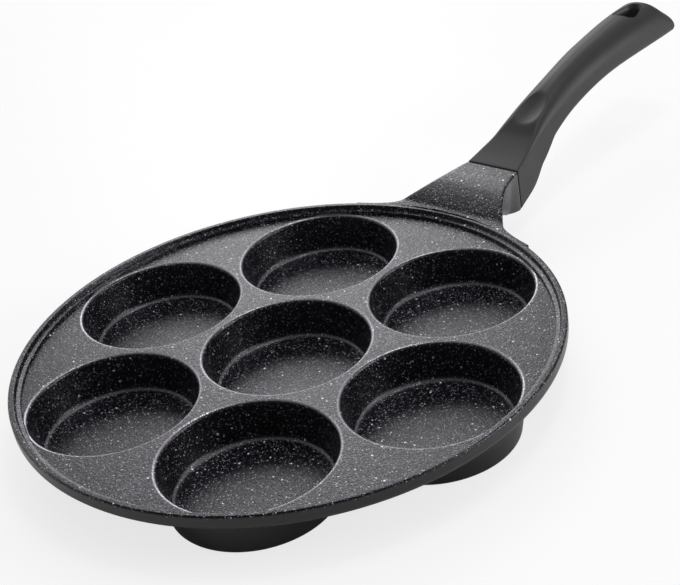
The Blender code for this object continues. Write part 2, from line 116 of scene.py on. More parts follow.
def share_edge(angle, outer):
    """Distance from a ring cup's centre to the edge of its share of the deck, by direction.

    The nearest of four: the circle of radius outer round the pan, the two lines to the
    neighbours at half the pitch over the sine, and the line to the middle cup at half the
    pitch over the cosine.
    """
    far = 1e9
    circle = -PITCH * np.cos(angle) + np.sqrt(outer ** 2 - (PITCH * np.sin(angle)) ** 2)
    reach = [circle]
    for sine in (np.sin(angle - math.pi / 6), np.sin(-angle - math.pi / 6), -np.cos(angle)):
        reach.append(np.where(sine > 1e-6, PITCH / 2 / np.maximum(sine, 1e-6), far))
    return np.min(reach, axis=0)


def ring_directions(outer):
    """Directions round a ring cup: even steps of the pan's own angle along the rim, then even
    steps to the corners that it shares with its neighbours and the middle cup, at 150 and 210
    degrees, and between these."""
    around = np.radians(np.linspace(-30, 30, RIM_STEPS + 1))
    rim = np.arctan2(outer * np.sin(around), outer * np.cos(around) - PITCH)
    side = np.linspace(rim[-1], math.radians(150), SIDE_STEPS + 1)
    inner = np.radians(np.linspace(150, 210, INNER_STEPS + 1))
    return np.concatenate([rim[:-1], side[:-1], inner[:-1], 2 * math.pi - side[:0:-1]])


def middle_directions():
    """Directions round the middle cup: the ring cups' inner steps, six times."""
    count = RING_CUPS * INNER_STEPS
    return 2 * math.pi * np.arange(count) / count + math.radians(30)


def hexagon_edge(angle):
    """Distance from the middle cup's centre to the hexagon halfway to its neighbours: half the
    pitch over the cosine of the angle to the nearest neighbour."""
    turned = (angle + math.pi / 6) % (math.pi / 3) - math.pi / 6
    return PITCH / 2 / np.cos(turned)


def turned_rows(outline, steps, angle):
    """Rows (r, z) by direction of an outline that starts on the axis, its first leg in steps."""
    leg = np.stack([np.linspace(0, outline[1, 0], steps + 1)[:-1],
                    np.full(steps, outline[0, 1])], 1)
    outline = np.concatenate([leg, outline[1:]])
    return np.repeat(outline[:, :1], len(angle), 1), np.repeat(outline[:, 1:], len(angle), 1)


def cup_inside(angle, edge):
    """Rows (r, z) by direction: floor, wall and mouth, then the deck out to the share's edge."""
    crease = WALL_TOP - CUP_DEPTH * WALL_SLOPE
    outline = rounded([(0.0, CUP_FLOOR), (crease, CUP_FLOOR, FLOOR_ROUND),
                       (WALL_TOP, DECK_TOP, MOUTH_ROUND), (MOUTH_LAND, DECK_TOP)], 7)
    radius, height = turned_rows(outline, 7, angle)
    for share in (0.35, 0.7, 1.0):
        radius = np.concatenate([radius, (MOUTH_LAND + (edge - MOUTH_LAND) * share)[None]])
        height = np.concatenate([height, np.full((1, len(angle)), DECK_TOP)])
    return radius, height


def cup_outside(angle, edge):
    """Rows (r, z) by direction: foot, drafted wall, the root's quarter circle cut off at the
    share's edge, then the deck's underside."""
    foot = WALL_TOP - DECK_TOP * WALL_SLOPE + CUP_WALL / math.cos(CUP_DRAFT)
    root_z = DECK_UNDER - ROOT_ROUND
    root_wall = foot + root_z * WALL_SLOPE
    outline = rounded([(0.0, 0.0), (foot, 0.0, FOOT_ROUND), (root_wall, root_z)], 5)
    radius, height = turned_rows(outline, 5, angle)
    root_end = np.minimum(root_wall + ROOT_ROUND, edge)
    for share in (0.06, 0.2, 0.42, 0.7, 1.0):
        out = root_wall + (root_end - root_wall) * share
        left = np.clip((root_wall + ROOT_ROUND - out) / ROOT_ROUND, 0, 1)
        radius = np.concatenate([radius, out[None]])
        height = np.concatenate([height, (root_z + ROOT_ROUND * np.sqrt(1 - left ** 2))[None]])
    for share in (0.5, 1.0):
        radius = np.concatenate([radius, (root_end + (edge - root_end) * share)[None]])
        height = np.concatenate([height, np.where(edge > root_end, DECK_UNDER, height[-1])[None]])
    return radius, height


def round_cup(angle, rows, cup):
    """Rows of (r, z) by direction as a grid of points. Cup 0 is the middle one, and the others
    are moved out by the pitch and turned to their place on the ring."""
    radius, height = rows
    x = radius * np.cos(angle)
    y = radius * np.sin(angle)
    if cup == 0:
        return np.stack([x, y, height], 2)
    turn = 2 * math.pi * (cup - 1) / RING_CUPS
    x = x + PITCH
    return np.stack([x * math.cos(turn) - y * math.sin(turn),
                     x * math.sin(turn) + y * math.cos(turn), height], 2)


def grid_faces(rows, columns, start):
    """Triangles of a grid of rows by columns, whose columns close on themselves."""
    row, column = np.meshgrid(np.arange(rows - 1), np.arange(columns), indexing="ij")
    after = (column + 1) % columns
    a = start + row * columns + column
    b = start + row * columns + after
    c = start + (row + 1) * columns + after
    d = start + (row + 1) * columns + column
    return np.concatenate([np.stack([a, b, c], 2).reshape(-1, 3),
                           np.stack([a, c, d], 2).reshape(-1, 3)])


def solid_from(name, grids, materials):
    """One closed, smooth mesh from grids of points, each (points, material number).

    Points nearer than a tenth of a micron become one, and triangles that lose a corner that
    way go, which closes seams and poles.
    """
    points = []
    faces = []
    finish = []
    start = 0
    for grid, number in grids:
        rows, columns = grid.shape[:2]
        points.append(grid.reshape(-1, 3))
        made = grid_faces(rows, columns, start)
        faces.append(made)
        finish.append(np.full(len(made), number))
        start += rows * columns
    points = np.concatenate(points)
    faces = np.concatenate(faces)
    finish = np.concatenate(finish)
    _, first, same = np.unique(np.round(points * 1e4).astype(np.int64), axis=0,
                               return_index=True, return_inverse=True)
    points = points[first] * MM
    faces = same.reshape(-1)[faces]
    whole = ((faces[:, 0] != faces[:, 1]) & (faces[:, 1] != faces[:, 2])
             & (faces[:, 2] != faces[:, 0]))
    faces = faces[whole]
    finish = finish[whole]
    mesh = bpy.data.meshes.new(name)
    mesh.from_pydata(points.tolist(), [], faces.tolist())
    mesh.polygons.foreach_set("material_index", finish.astype(np.int32))
    for material in materials:
        mesh.materials.append(material)
    shape = bmesh.new()
    shape.from_mesh(mesh)
    bmesh.ops.recalc_face_normals(shape, faces=shape.faces)
    shape.to_mesh(mesh)
    shape.free()
    mesh.shade_smooth()
    piece = bpy.data.objects.new(name, mesh)
    bpy.context.scene.collection.objects.link(piece)
    return piece


def linear(code):
    """An sRGB hex value as linear red, green, blue and 1."""
    channels = [int(code[k:k + 2], 16) / 255 for k in (1, 3, 5)]
    return [c / 12.92 if c <= 0.04045 else ((c + 0.055) / 1.055) ** 2.4 for c in channels] + [1.0]


def add(material, kind, settings=(), values=(), links=()):
    """Adds a node of a kind to a material or the world, with its settings, the values of its
    sockets, and its links."""
    node = material.node_tree.nodes.new(kind)
    for key, value in dict(settings).items():
        setattr(node, key, value)
    for key, value in dict(values).items():
        node.inputs[key].default_value = value
    for key, socket in dict(links).items():
        material.node_tree.links.new(socket, node.inputs[key])
    return node


def blank(name):
    """A material without any node."""
    material = bpy.data.materials.new(name)
    material.use_nodes = True
    material.node_tree.nodes.clear()
    return material


FLECK_EDGE = 24.0


def flecks(material, place, cell, size, share, ragged):
    """Mineral flecks as a mask from 0 to 1: the given share of the cells, in mm, hold a grain
    of 0.4 to 1 times the given size, in mm, and noise moves its edge by up to the ragged part
    of the cell."""
    noise = add(material, "ShaderNodeTexNoise",
                values={"Scale": 1000 / (0.4 * cell), "Detail": 2.0}, links={"Vector": place})
    moved = add(material, "ShaderNodeVectorMath", {"operation": "MULTIPLY_ADD"},
                {1: (ragged * cell * MM,) * 3}, {0: noise.outputs["Color"], 2: place})
    cells = add(material, "ShaderNodeTexVoronoi", values={"Scale": 1000 / cell},
                links={"Vector": moved.outputs["Vector"]})
    draw = add(material, "ShaderNodeSeparateColor", links={"Color": cells.outputs["Color"]})
    chosen = add(material, "ShaderNodeMath", {"operation": "LESS_THAN"}, {1: share},
                 {0: draw.outputs["Red"]})
    radius = add(material, "ShaderNodeMapRange",
                 values={"To Min": 0.2 * size / cell, "To Max": 0.5 * size / cell},
                 links={"Value": draw.outputs["Green"]})
    depth = add(material, "ShaderNodeMath", {"operation": "SUBTRACT"},
                links={0: radius.outputs["Result"], 1: cells.outputs["Distance"]})
    spot = add(material, "ShaderNodeMath", {"operation": "MULTIPLY", "use_clamp": True},
               {1: FLECK_EDGE}, {0: depth.outputs[0]})
    return add(material, "ShaderNodeMath", {"operation": "MULTIPLY"},
               links={0: spot.outputs[0], 1: chosen.outputs[0]}).outputs[0]


# Mineral non-stick coating: a charcoal polymer film with grey and white flecks, sprayed on and
# baked. It gives a half-matt sheen, a fine dark mottle and flecks of 0.3 to 1.2 mm. The mottle
# is finer on the real pan and is drawn at 1.6 mm, and its grain at 1 mm, so that they show.
MOTTLE_SIZE = 1.6
GRAIN_SIZE = 1.0
GRAIN_RELIEF = 0.2
FLECK_LAYERS = (  # cell and size in mm, share of the cells, raggedness, colour
    (1.0, 0.74, 0.75, 0.6, "#86828e"),
    (1.5, 0.8, 0.65, 0.4, "#bbb7c3"),
    (3.6, 1.25, 0.5, 0.2, "#f1eef5"))


def speckled_coating():
    """Film, flecks and edge bands. On steep walls the film is drawn darker and its flecks dimmer:
    painted shade. Where the attribute worn says so, the film is thinner and shows metal, lighter
    and glossier: abrasion on the mouths' edges, and a painted highlight there and in the creases."""
    material = blank("mineral_non_stick_coating")
    place = add(material, "ShaderNodeTexCoord").outputs["Object"]
    mottle = add(material, "ShaderNodeTexNoise",
                 values={"Scale": 1000 / MOTTLE_SIZE, "Detail": 3.0, "Roughness": 0.75},
                 links={"Vector": place})
    spread = add(material, "ShaderNodeMapRange", values={"From Min": 0.51, "From Max": 0.63},
                 links={"Value": mottle.outputs["Fac"]})
    facing = add(material, "ShaderNodeSeparateXYZ",
                 links={"Vector": add(material, "ShaderNodeNewGeometry").outputs["True Normal"]})
    # Painted shade: steep walls get little of the lighter mottle, so their film is drawn darker.
    painted_wall_shade = add(material, "ShaderNodeMapRange",
                  values={"From Min": 0.3, "From Max": 0.95, "To Min": 0.1},
                  links={"Value": facing.outputs["Z"]})
    layers = add(material, "ShaderNodeMath", {"operation": "MULTIPLY"},
                 links={0: spread.outputs["Result"], 1: painted_wall_shade.outputs["Result"]})
    tone = add(material, "ShaderNodeMix", {"data_type": "RGBA"},
               {"A": linear("#040305"), "B": linear("#282530")},
               {"Factor": layers.outputs[0]}).outputs["Result"]
    # Painted shade: the flecks are drawn dimmer on steep walls.
    painted_fleck_shade = add(material, "ShaderNodeMapRange",
                 values={"From Min": 0.3, "From Max": 0.95, "To Min": 0.55},
                 links={"Value": facing.outputs["Z"]})
    for cell, size, share, ragged, colour in FLECK_LAYERS:
        spots = flecks(material, place, cell, size, share, ragged)
        shown = add(material, "ShaderNodeMath", {"operation": "MULTIPLY"},
                    links={0: spots, 1: painted_fleck_shade.outputs["Result"]})
        tone = add(material, "ShaderNodeMix", {"data_type": "RGBA"}, {"B": linear(colour)},
                   {"Factor": shown.outputs[0], "A": tone}).outputs["Result"]
    # Painted highlight, partly abrasion: the stored edge bands make the film lighter, glossier and
    # metallic.
    wear_and_sheen = add(material, "ShaderNodeAttribute", {"attribute_name": "worn_and_sheen"}).outputs["Fac"]
    thin_and_sheen = add(material, "ShaderNodeMath", {"operation": "MULTIPLY"}, {1: 0.75}, {0: wear_and_sheen})
    rubbed_and_sheen = add(material, "ShaderNodeMix", {"data_type": "RGBA"}, {"B": linear("#cfccd4")},
                 {"Factor": thin_and_sheen.outputs[0], "A": tone})
    grain = add(material, "ShaderNodeTexNoise",
                values={"Scale": 1000 / GRAIN_SIZE, "Detail": 3.0, "Roughness": 0.6},
                links={"Vector": place})
    gloss = add(material, "ShaderNodeMapRange",
                values={"From Min": 0.35, "From Max": 0.65, "To Min": 0.22, "To Max": 0.38},
                links={"Value": grain.outputs["Fac"]})
    polish = add(material, "ShaderNodeMix", {"data_type": "FLOAT"}, {"B": 0.12},
                 {"Factor": thin_and_sheen.outputs[0], "A": gloss.outputs["Result"]})
    relief = add(material, "ShaderNodeBump",
                 values={"Strength": 1.0, "Distance": GRAIN_RELIEF * MM},
                 links={"Height": grain.outputs["Fac"]})
    shader = add(material, "ShaderNodeBsdfPrincipled",
                 values={"IOR": 1.5, "Specular Tint": (0.96, 0.92, 1.0, 1.0)},
                 links={"Base Color": rubbed_and_sheen.outputs["Result"], "Metallic": thin_and_sheen.outputs[0],
                        "Roughness": polish.outputs["Result"],
                        "Normal": relief.outputs["Normal"]})
    add(material, "ShaderNodeOutputMaterial", links={"Surface": shader.outputs["BSDF"]})
    return material


# Outside lacquer: black silicone polyester, sprayed on the underside. It is satin, a little
# smoother than the coating, and has no flecks. On the bracket's sides a lighter grey copy of it
# is used: painted light, standing for the light that those sides reflect.
CLOUD_SIZE = 6.0
PEEL_SIZE = 0.8
PEEL_RELIEF = 0.03


def outside_lacquer(name, deep, pale):
    """A clouded film between two greys, with the faint ripple of sprayed lacquer."""
    material = blank(name)
    place = add(material, "ShaderNodeTexCoord").outputs["Object"]
    cloud = add(material, "ShaderNodeTexNoise", values={"Scale": 1000 / CLOUD_SIZE, "Detail": 5.0},
                links={"Vector": place})
    film = add(material, "ShaderNodeMix", {"data_type": "RGBA"},
               {"A": linear(deep), "B": linear(pale)}, {"Factor": cloud.outputs["Fac"]})
    peel = add(material, "ShaderNodeTexNoise", values={"Scale": 1000 / PEEL_SIZE, "Detail": 2.0},
               links={"Vector": place})
    gloss = add(material, "ShaderNodeMapRange", values={"To Min": 0.2, "To Max": 0.3},
                links={"Value": peel.outputs["Fac"]})
    relief = add(material, "ShaderNodeBump",
                 values={"Strength": 0.2, "Distance": PEEL_RELIEF * MM},
                 links={"Height": peel.outputs["Fac"]})
    shader = add(material, "ShaderNodeBsdfPrincipled", values={"IOR": 1.5},
                 links={"Base Color": film.outputs["Result"],
                        "Roughness": gloss.outputs["Result"],
                        "Normal": relief.outputs["Normal"]})
    add(material, "ShaderNodeOutputMaterial", links={"Surface": shader.outputs["BSDF"]})
    return material


COATING = speckled_coating()
LACQUER = outside_lacquer("satin_black_silicone_lacquer", "#100f11", "#18171a")
# A lighter grey copy of the lacquer for the bracket's sides: painted light.
PAINTED_LIGHT_LACQUER = outside_lacquer("silicone_lacquer_painted_light", "#38373a", "#454448")

top_turns = ring_directions(LEDGE_FOOT)
under_turns = ring_directions(RIM_RADIUS - UNDER_ROUND)
top_edge = share_edge(top_turns, LEDGE_FOOT)
under_edge = share_edge(under_turns, RIM_RADIUS - UNDER_ROUND)
middle_turns = middle_directions()
middle_edge = hexagon_edge(middle_turns)
pan_grids = [(round_cup(middle_turns, cup_inside(middle_turns, middle_edge), 0), 0),
             (round_cup(middle_turns, cup_outside(middle_turns, middle_edge), 0), 1)]
for cup in range(1, RING_CUPS + 1):
    pan_grids.append((round_cup(top_turns, cup_inside(top_turns, top_edge), cup), 0))
    pan_grids.append((round_cup(under_turns, cup_outside(under_turns, under_edge), cup), 1))

rim_inside = rounded([(LEDGE_FOOT, DECK_TOP), (LEDGE_FOOT + 0.1, DECK_TOP, 0.05),
                      (LEDGE_INNER, LEDGE_TOP - 0.4, 0.4), (LEDGE_OUTER, LEDGE_TOP, 0.35),
                      (LIP_INNER, LIP_TOP, 0.55), (RIM_RADIUS, LIP_TOP, 0.9),
                      (RIM_RADIUS, COATING_END)], 6, 0.12)
rim_outside = rounded([(RIM_RADIUS, COATING_END), (RIM_RADIUS, DECK_UNDER, UNDER_ROUND),
                       (RIM_RADIUS - UNDER_ROUND, DECK_UNDER)], 6, 0.12)
rim_count = RING_CUPS * RIM_STEPS
around = 2 * math.pi * np.arange(rim_count) / rim_count - math.pi / 6
for outline, number in ((rim_inside, 0), (rim_outside, 1)):
    radius = outline[:, :1]
    height = np.repeat(outline[:, 1:], rim_count, 1)
    pan_grids.append((np.stack([radius * np.cos(around), radius * np.sin(around), height], 2),
                      number))
pan = solid_from("pan_casting", pan_grids, [COATING, LACQUER])

# Lighter, glossier, metallic bands where the film is thinner. On the mouths' edges they are partly
# abrasion and partly a painted highlight line. Round the floors' creases they are weaker and only
# a painted highlight. Each is a circle's radius and height, and its share.
WEAR_AND_SHEEN_REACH = 0.45
MOUTH_WEAR_AND_SHEEN = (MOUTH_RADIUS - 0.7, DECK_TOP - 0.15, 1.0)
CREASE_PAINTED_SHEEN = (MOUTH_RADIUS - 5.7, CUP_FLOOR + 0.7, 0.4)


def worn_and_sheen_bands(mesh, circles):
    """Stores how strongly each vertex lies in the bands of circles (x, y, radius, z, share), as the
    attribute worn: abrasion and painted highlight on the mouths, painted highlight in the creases.

    A circle's value is its share times e to the power of minus the squared ratio of the distance
    to the reach, and the largest value of all the circles counts.
    """
    points = np.empty(len(mesh.vertices) * 3)
    mesh.vertices.foreach_get("co", points)
    points = points.reshape(-1, 3) / MM
    worn_and_sheen = np.zeros(len(points))
    for x, y, radius, z, share in circles:
        across = np.hypot(points[:, 0] - x, points[:, 1] - y) - radius
        distance = np.hypot(across, points[:, 2] - z)
        worn_and_sheen = np.maximum(worn_and_sheen, share * np.exp(-(distance / WEAR_AND_SHEEN_REACH) ** 2))
    mesh.attributes.new("worn_and_sheen", "FLOAT", "POINT").data.foreach_set("value", worn_and_sheen)


turns = 2 * math.pi * np.arange(RING_CUPS) / RING_CUPS
centres = [(0.0, 0.0)] + [(PITCH * math.cos(turn), PITCH * math.sin(turn)) for turn in turns]
worn_and_sheen_bands(pan.data, [(*centre, *wear_and_sheen) for wear_and_sheen in (MOUTH_WEAR_AND_SHEEN, CREASE_PAINTED_SHEEN)
                      for centre in centres])
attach(pan, "root")
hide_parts("pan_body")


# Bracket and collar: the fan that the casting carries for its handle. Its top flares into the
# rim, its sides lean in a little, and its underside sweeps down to the collar.
BRACKET_REACH = 38.0
BRACKET_ROOT = RIM_RADIUS - 1.3
BRACKET_WING = 200.0
BRACKET_END = 1.27
COLLAR_FACE = RIM_RADIUS + BRACKET_REACH
COLLAR_HALF_WIDTH = 16.2
COLLAR_HEIGHT = 22.4
COLLAR_TOP = DECK_TOP + 12.1
COLLAR_CORNER = 1.2
COLLAR_EDGE = 0.5
SIDE_LEAN = math.tan(math.radians(9))
PLATE_THICK = 4.6

# Shares of the way from the collar's face to the rim, and the values there: half the width,
# how far the top lies below the collar's, and the depth of the section.
BRACKET_HALF_WIDTHS = ([0, 0.1, 0.3, 0.5, 0.7, 0.9, 1.3],
                       [COLLAR_HALF_WIDTH, 16.9, 18.5, 21.1, 25.0, 29.8, 41.0])
BRACKET_DROPS = ([0, 0.1, 0.3, 0.5, 0.7, 0.9, 1.0, 1.4],
                 [0, 0, 0.25, 1.2, 3.2, 5.9, 7.4, 9.2])
BRACKET_DEPTHS = ([0, 0.12, 0.26, 0.43, 0.56, 0.8, 1.0, 1.4],
                  [COLLAR_HEIGHT, 22.2, 20.6, 16.4, 12.6, 6.4, PLATE_THICK, PLATE_THICK])


def smooth_step(value):
    """0 below 0, 1 above 1, and 3v squared less 2v cubed between."""
    value = np.clip(value, 0, 1)
    return value * value * (3 - 2 * value)


def curve_through(places, values, where):
    """Smooth curve through (place, value) knots: cubic pieces whose slope at a knot is the
    harmonic mean of the slopes beside it, or level where these differ in sign."""
    places = np.array(places, float)
    values = np.array(values, float)
    span = np.diff(places)
    slope = np.diff(values) / span
    product = slope[:-1] * slope[1:]
    inner = np.where(product > 0, 2 * product / np.where(product > 0, slope[:-1] + slope[1:], 1), 0)
    tangent = np.concatenate([slope[:1], inner, slope[-1:]])
    k = np.clip(np.searchsorted(places, where, side="right") - 1, 0, len(span) - 1)
    t = (where - places[k]) / span[k]
    return (values[k] * (1 + 2 * t) * (1 - t) ** 2 + tangent[k] * span[k] * t * (1 - t) ** 2
            + values[k + 1] * t * t * (3 - 2 * t) - tangent[k + 1] * span[k] * t * t * (1 - t))


def bracket_section(back):
    """Half of the section, top middle to bottom middle, at a share back of the way to the rim.

    A flat top, a rounded corner, a side that leans in, a rounded lower corner, a flat bottom.
    Past the rim the width grows by the wing times the squared share beyond it.
    """
    half_width = float(curve_through(*BRACKET_HALF_WIDTHS, back))
    half_width += BRACKET_WING * max(back - 1.0, 0) ** 2
    top = COLLAR_TOP - float(curve_through(*BRACKET_DROPS, back))
    depth = float(curve_through(*BRACKET_DEPTHS, back))
    foot = half_width - SIDE_LEAN * depth * smooth_step(back * 4)
    quarter = np.linspace(0, math.pi / 2, 9)
    across = COLLAR_CORNER * np.sin(quarter)
    up = COLLAR_CORNER * np.cos(quarter)
    side = np.linspace(0, 1, 12)[1:-1, None]
    return np.concatenate([
        np.stack([np.linspace(0, half_width - COLLAR_CORNER, 12)[:-1], np.full(11, top)], 1),
        np.stack([half_width - COLLAR_CORNER + across, top - COLLAR_CORNER + up], 1),
        np.array([half_width, top - COLLAR_CORNER])
        + side * np.array([foot - half_width, 2 * COLLAR_CORNER - depth]),
        np.stack([foot - COLLAR_CORNER + up, top - depth + COLLAR_CORNER - across], 1),
        np.stack([np.linspace(foot - COLLAR_CORNER, 0, 10)[1:], np.full(9, top - depth)], 1)])


def mirrored(half):
    """A whole ring of (x, z) points from its right half, top middle to bottom middle."""
    return np.concatenate([half, half[-2:0:-1] * [-1, 1]])


def shrunken(ring, shares):
    """Copies of a ring, drawn in to its middle by each share."""
    middle = ring.mean(0)
    return [middle + (ring - middle) * share for share in shares]


def closed_ends(rings):
    """The rings with shrunken copies of the first and the last one, down to their centres."""
    return np.array(shrunken(rings[0], (0, 0.5, 0.93, 0.985)) + list(rings)
                    + shrunken(rings[-1], (0.985, 0.93, 0.5, 0)))


def upright(ring, y):
    """A ring of (x, z) points as points in space, at y or at each point's own y."""
    return np.stack([ring[:, 0], np.broadcast_to(y, len(ring)), ring[:, 1]], 1)


# The collar's rounded edge, then the sections back to the rim. There no point goes further in
# than the circle of the bracket's root, on which the closed end lies too.
bracket_rings = []
for turn in np.linspace(0, math.pi / 2, 5):
    inward = 1 - COLLAR_EDGE * (1 - math.sin(turn)) / COLLAR_HEIGHT * 2
    ring = shrunken(mirrored(bracket_section(0)), [inward])[0]
    bracket_rings.append(upright(ring, COLLAR_FACE - COLLAR_EDGE * (1 - math.cos(turn))))
for back in np.linspace(2 * COLLAR_EDGE / BRACKET_REACH, BRACKET_END, 72):
    ring = mirrored(bracket_section(back))
    root = np.sqrt(BRACKET_ROOT ** 2 - ring[:, 0] ** 2)
    bracket_rings.append(upright(ring, np.maximum(COLLAR_FACE - BRACKET_REACH * back, root)))
bracket_rings = closed_ends(np.array(bracket_rings))
bracket_rings[-4:, :, 1] = np.sqrt(BRACKET_ROOT ** 2 - bracket_rings[-4:, :, 0] ** 2)
bracket = solid_from("bracket_and_collar", [(bracket_rings, 0)], [COATING, PAINTED_LIGHT_LACQUER])

# The coating covers the top, and the lighter lacquer, which is painted light, every face whose
# normal rises less than this.
SPRAYED_FROM_ABOVE = 0.35
normals = np.empty(len(bracket.data.polygons) * 3)
bracket.data.polygons.foreach_get("normal", normals)
turned_away = normals.reshape(-1, 3)[:, 2] < SPRAYED_FROM_ABOVE
bracket.data.polygons.foreach_set("material_index", turned_away.astype(np.int32))
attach(bracket, "root")
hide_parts("pan_body")


# Handle: one compression-moulded phenolic piece, screwed to the casting's tongue. It turns from
# the collar's rounded rectangle into an arch, with a thumb recess and a hanging hole.
HANDLE_LENGTH = 163.0
END_DROP = 11.0
END_SWELL = 26.0
END_BOW = 400.0
BLEND_IN = 18.0
BLEND_OUT = 30.0
SEAM = 0.6
SEAM_EDGE = 0.6
END_ROUND = 1.0
FOOT_CORNER = 3.6
SIDE_TAPER = 0.11
CROWN_WIDTH = 0.94
CROWN_HEIGHT = 0.62
RECESS_PLACE = 38.5
RECESS_DEPTH = 1.8
RECESS_HALF_LENGTH = 13.8
RECESS_HALF_WIDTH = 8.4
RECESS_CURVE = 6.0
RECESS_SOFT = 0.25
FINE_RINGS_FROM = 22
FINE_RINGS_TO = 56

# Places along the handle, and the values there: the back's height above the collar's top, half
# the width, the thickness, and how far the section has turned from rectangle to arch.
NECK = [0, 10, 22, 37, 62, 97, HANDLE_LENGTH - END_SWELL]
TIP = [HANDLE_LENGTH - END_DROP, HANDLE_LENGTH]
HANDLE_RISES = (NECK + TIP, [0, 2.9, 7.4, 15.6, 24, 30.1, 32.5, 32.2, 24.2])
HANDLE_HALF_WIDTHS = (NECK + TIP[1:],
                      [COLLAR_HALF_WIDTH, 15, 13, 12.6, 12.4, 13.7, 16, 16.7])
HANDLE_THICKNESSES = (NECK + TIP,
                      [COLLAR_HEIGHT, 21.2, 17.6, 16.1, 16.8, 17.3, 18.9, 19, 11])
HANDLE_ARCHES = (NECK[:5] + TIP[1:], [0, 0.05, 0.13, 0.6, 0.95, 1])


def back_slope(place):
    """Angle at which the back climbs: the arc tangent of its rise over the next millimetre."""
    ahead = curve_through(*HANDLE_RISES, place + 1)
    return np.arctan(ahead - curve_through(*HANDLE_RISES, place))


def handle_ring(place, smaller=0.0):
    """The section at a place from the collar's face, as points, drawn in by smaller.

    A rounded rectangle turns into an arch: upper corners that grow into quarter ellipses,
    sides that taper upwards by up to 11 %, small lower corners. The ring leans with the back,
    and near the end it bows by x squared over 400 mm.
    """
    half_width = curve_through(*HANDLE_HALF_WIDTHS, place)
    thick = curve_through(*HANDLE_THICKNESSES, place)
    arch = curve_through(*HANDLE_ARCHES, place)
    crown_x = COLLAR_CORNER + (half_width * CROWN_WIDTH - COLLAR_CORNER) * arch
    crown_z = COLLAR_CORNER + (thick * CROWN_HEIGHT - COLLAR_CORNER) * arch
    foot = COLLAR_CORNER + (FOOT_CORNER - COLLAR_CORNER) * arch
    quarter = np.linspace(0, math.pi / 2, 29)
    low = np.linspace(0, math.pi / 2, 9)[1:]
    half = np.concatenate([
        np.stack([np.linspace(0, half_width - crown_x, 8)[:-1], np.zeros(7)], 1),
        np.stack([half_width - crown_x + crown_x * np.sin(quarter),
                  -crown_z * (1 - np.cos(quarter))], 1),
        np.stack([np.full(6, half_width),
                  -crown_z - (thick - crown_z - foot) * np.linspace(0, 1, 7)[1:]], 1),
        np.stack([half_width - foot + foot * np.cos(low), -thick + foot - foot * np.sin(low)], 1),
        np.stack([np.linspace(half_width - foot, 0, 9)[1:], np.full(8, -thick)], 1)])
    half[:, 0] *= 1 - SIDE_TAPER * arch * np.maximum(1 + half[:, 1] / (thick - foot), 0)
    ring = mirrored(half)
    middle = -thick / 2
    x = ring[:, 0] * (1 - smaller / half_width)
    z = middle + (ring[:, 1] - middle) * (1 - smaller / half_width)
    to_end = HANDLE_LENGTH - place
    slope = back_slope(place) * smooth_step(place / BLEND_IN) * smooth_step(to_end / BLEND_OUT)
    y = -smooth_step(1 - to_end / BLEND_OUT) / END_BOW * x * x
    rise = COLLAR_TOP + curve_through(*HANDLE_RISES, place)
    return np.stack([x, COLLAR_FACE + place + y * np.cos(slope) - z * np.sin(slope),
                     rise + z * np.cos(slope) + y * np.sin(slope)], 1)


def with_recess(points):
    """The points with the thumb recess pressed in: heights in the back's own frame are limited
    by the lower half of an ellipsoid, with the edge between the two rounded softly. Points
    further below the back than half that ellipsoid's height stay."""
    slope = float(back_slope(RECESS_PLACE))
    lift = RECESS_CURVE - RECESS_DEPTH
    share = math.sqrt(1 - (lift / RECESS_CURVE) ** 2)
    y = points[..., 1] - COLLAR_FACE - RECESS_PLACE
    z = points[..., 2] - COLLAR_TOP - curve_through(*HANDLE_RISES, RECESS_PLACE)
    along = y * math.cos(slope) + z * math.sin(slope)
    square = -y * math.sin(slope) + z * math.cos(slope)
    inside = (1 - (points[..., 0] / RECESS_HALF_WIDTH * share) ** 2
              - (along / RECESS_HALF_LENGTH * share) ** 2)
    gap = lift - RECESS_CURVE * np.sqrt(np.maximum(inside, 0)) - square
    pressed = (inside > 0) & (square > -RECESS_CURVE) & (gap < 1.0)
    change = np.where(pressed, gap - RECESS_SOFT * np.logaddexp(0, gap / RECESS_SOFT), 0)
    points = points.copy()
    points[..., 1] -= change * math.sin(slope)
    points[..., 2] += change * math.cos(slope)
    return points


places = np.concatenate([np.linspace(SEAM + SEAM_EDGE, FINE_RINGS_FROM, 24)[:-1],
                         np.linspace(FINE_RINGS_FROM, FINE_RINGS_TO, 64)[:-1],
                         np.linspace(FINE_RINGS_TO, HANDLE_LENGTH - END_DROP, 80)[:-1],
                         np.linspace(HANDLE_LENGTH - END_DROP, HANDLE_LENGTH - END_ROUND, 16)])
rounding = np.linspace(0, math.pi / 2, 6)
handle_rings = np.array(
    [handle_ring(SEAM + SEAM_EDGE * (1 - np.sin(t)), SEAM_EDGE * (1 - np.cos(t)))
     for t in rounding[:0:-1]]
    + [handle_ring(place) for place in places]
    + [handle_ring(HANDLE_LENGTH - END_ROUND * (1 - np.sin(t)), END_ROUND * (1 - np.cos(t)))
       for t in rounding[1:]])


# Phenolic: black thermoset with a fine mineral filler, pressed in a blasted mould. It is matt,
# with a fine grain and a faint grey bloom.
MOULD_GRAIN_SIZE = 0.55
MOULD_GRAIN_RELIEF = 0.05
BLOOM_SIZE = 14.0


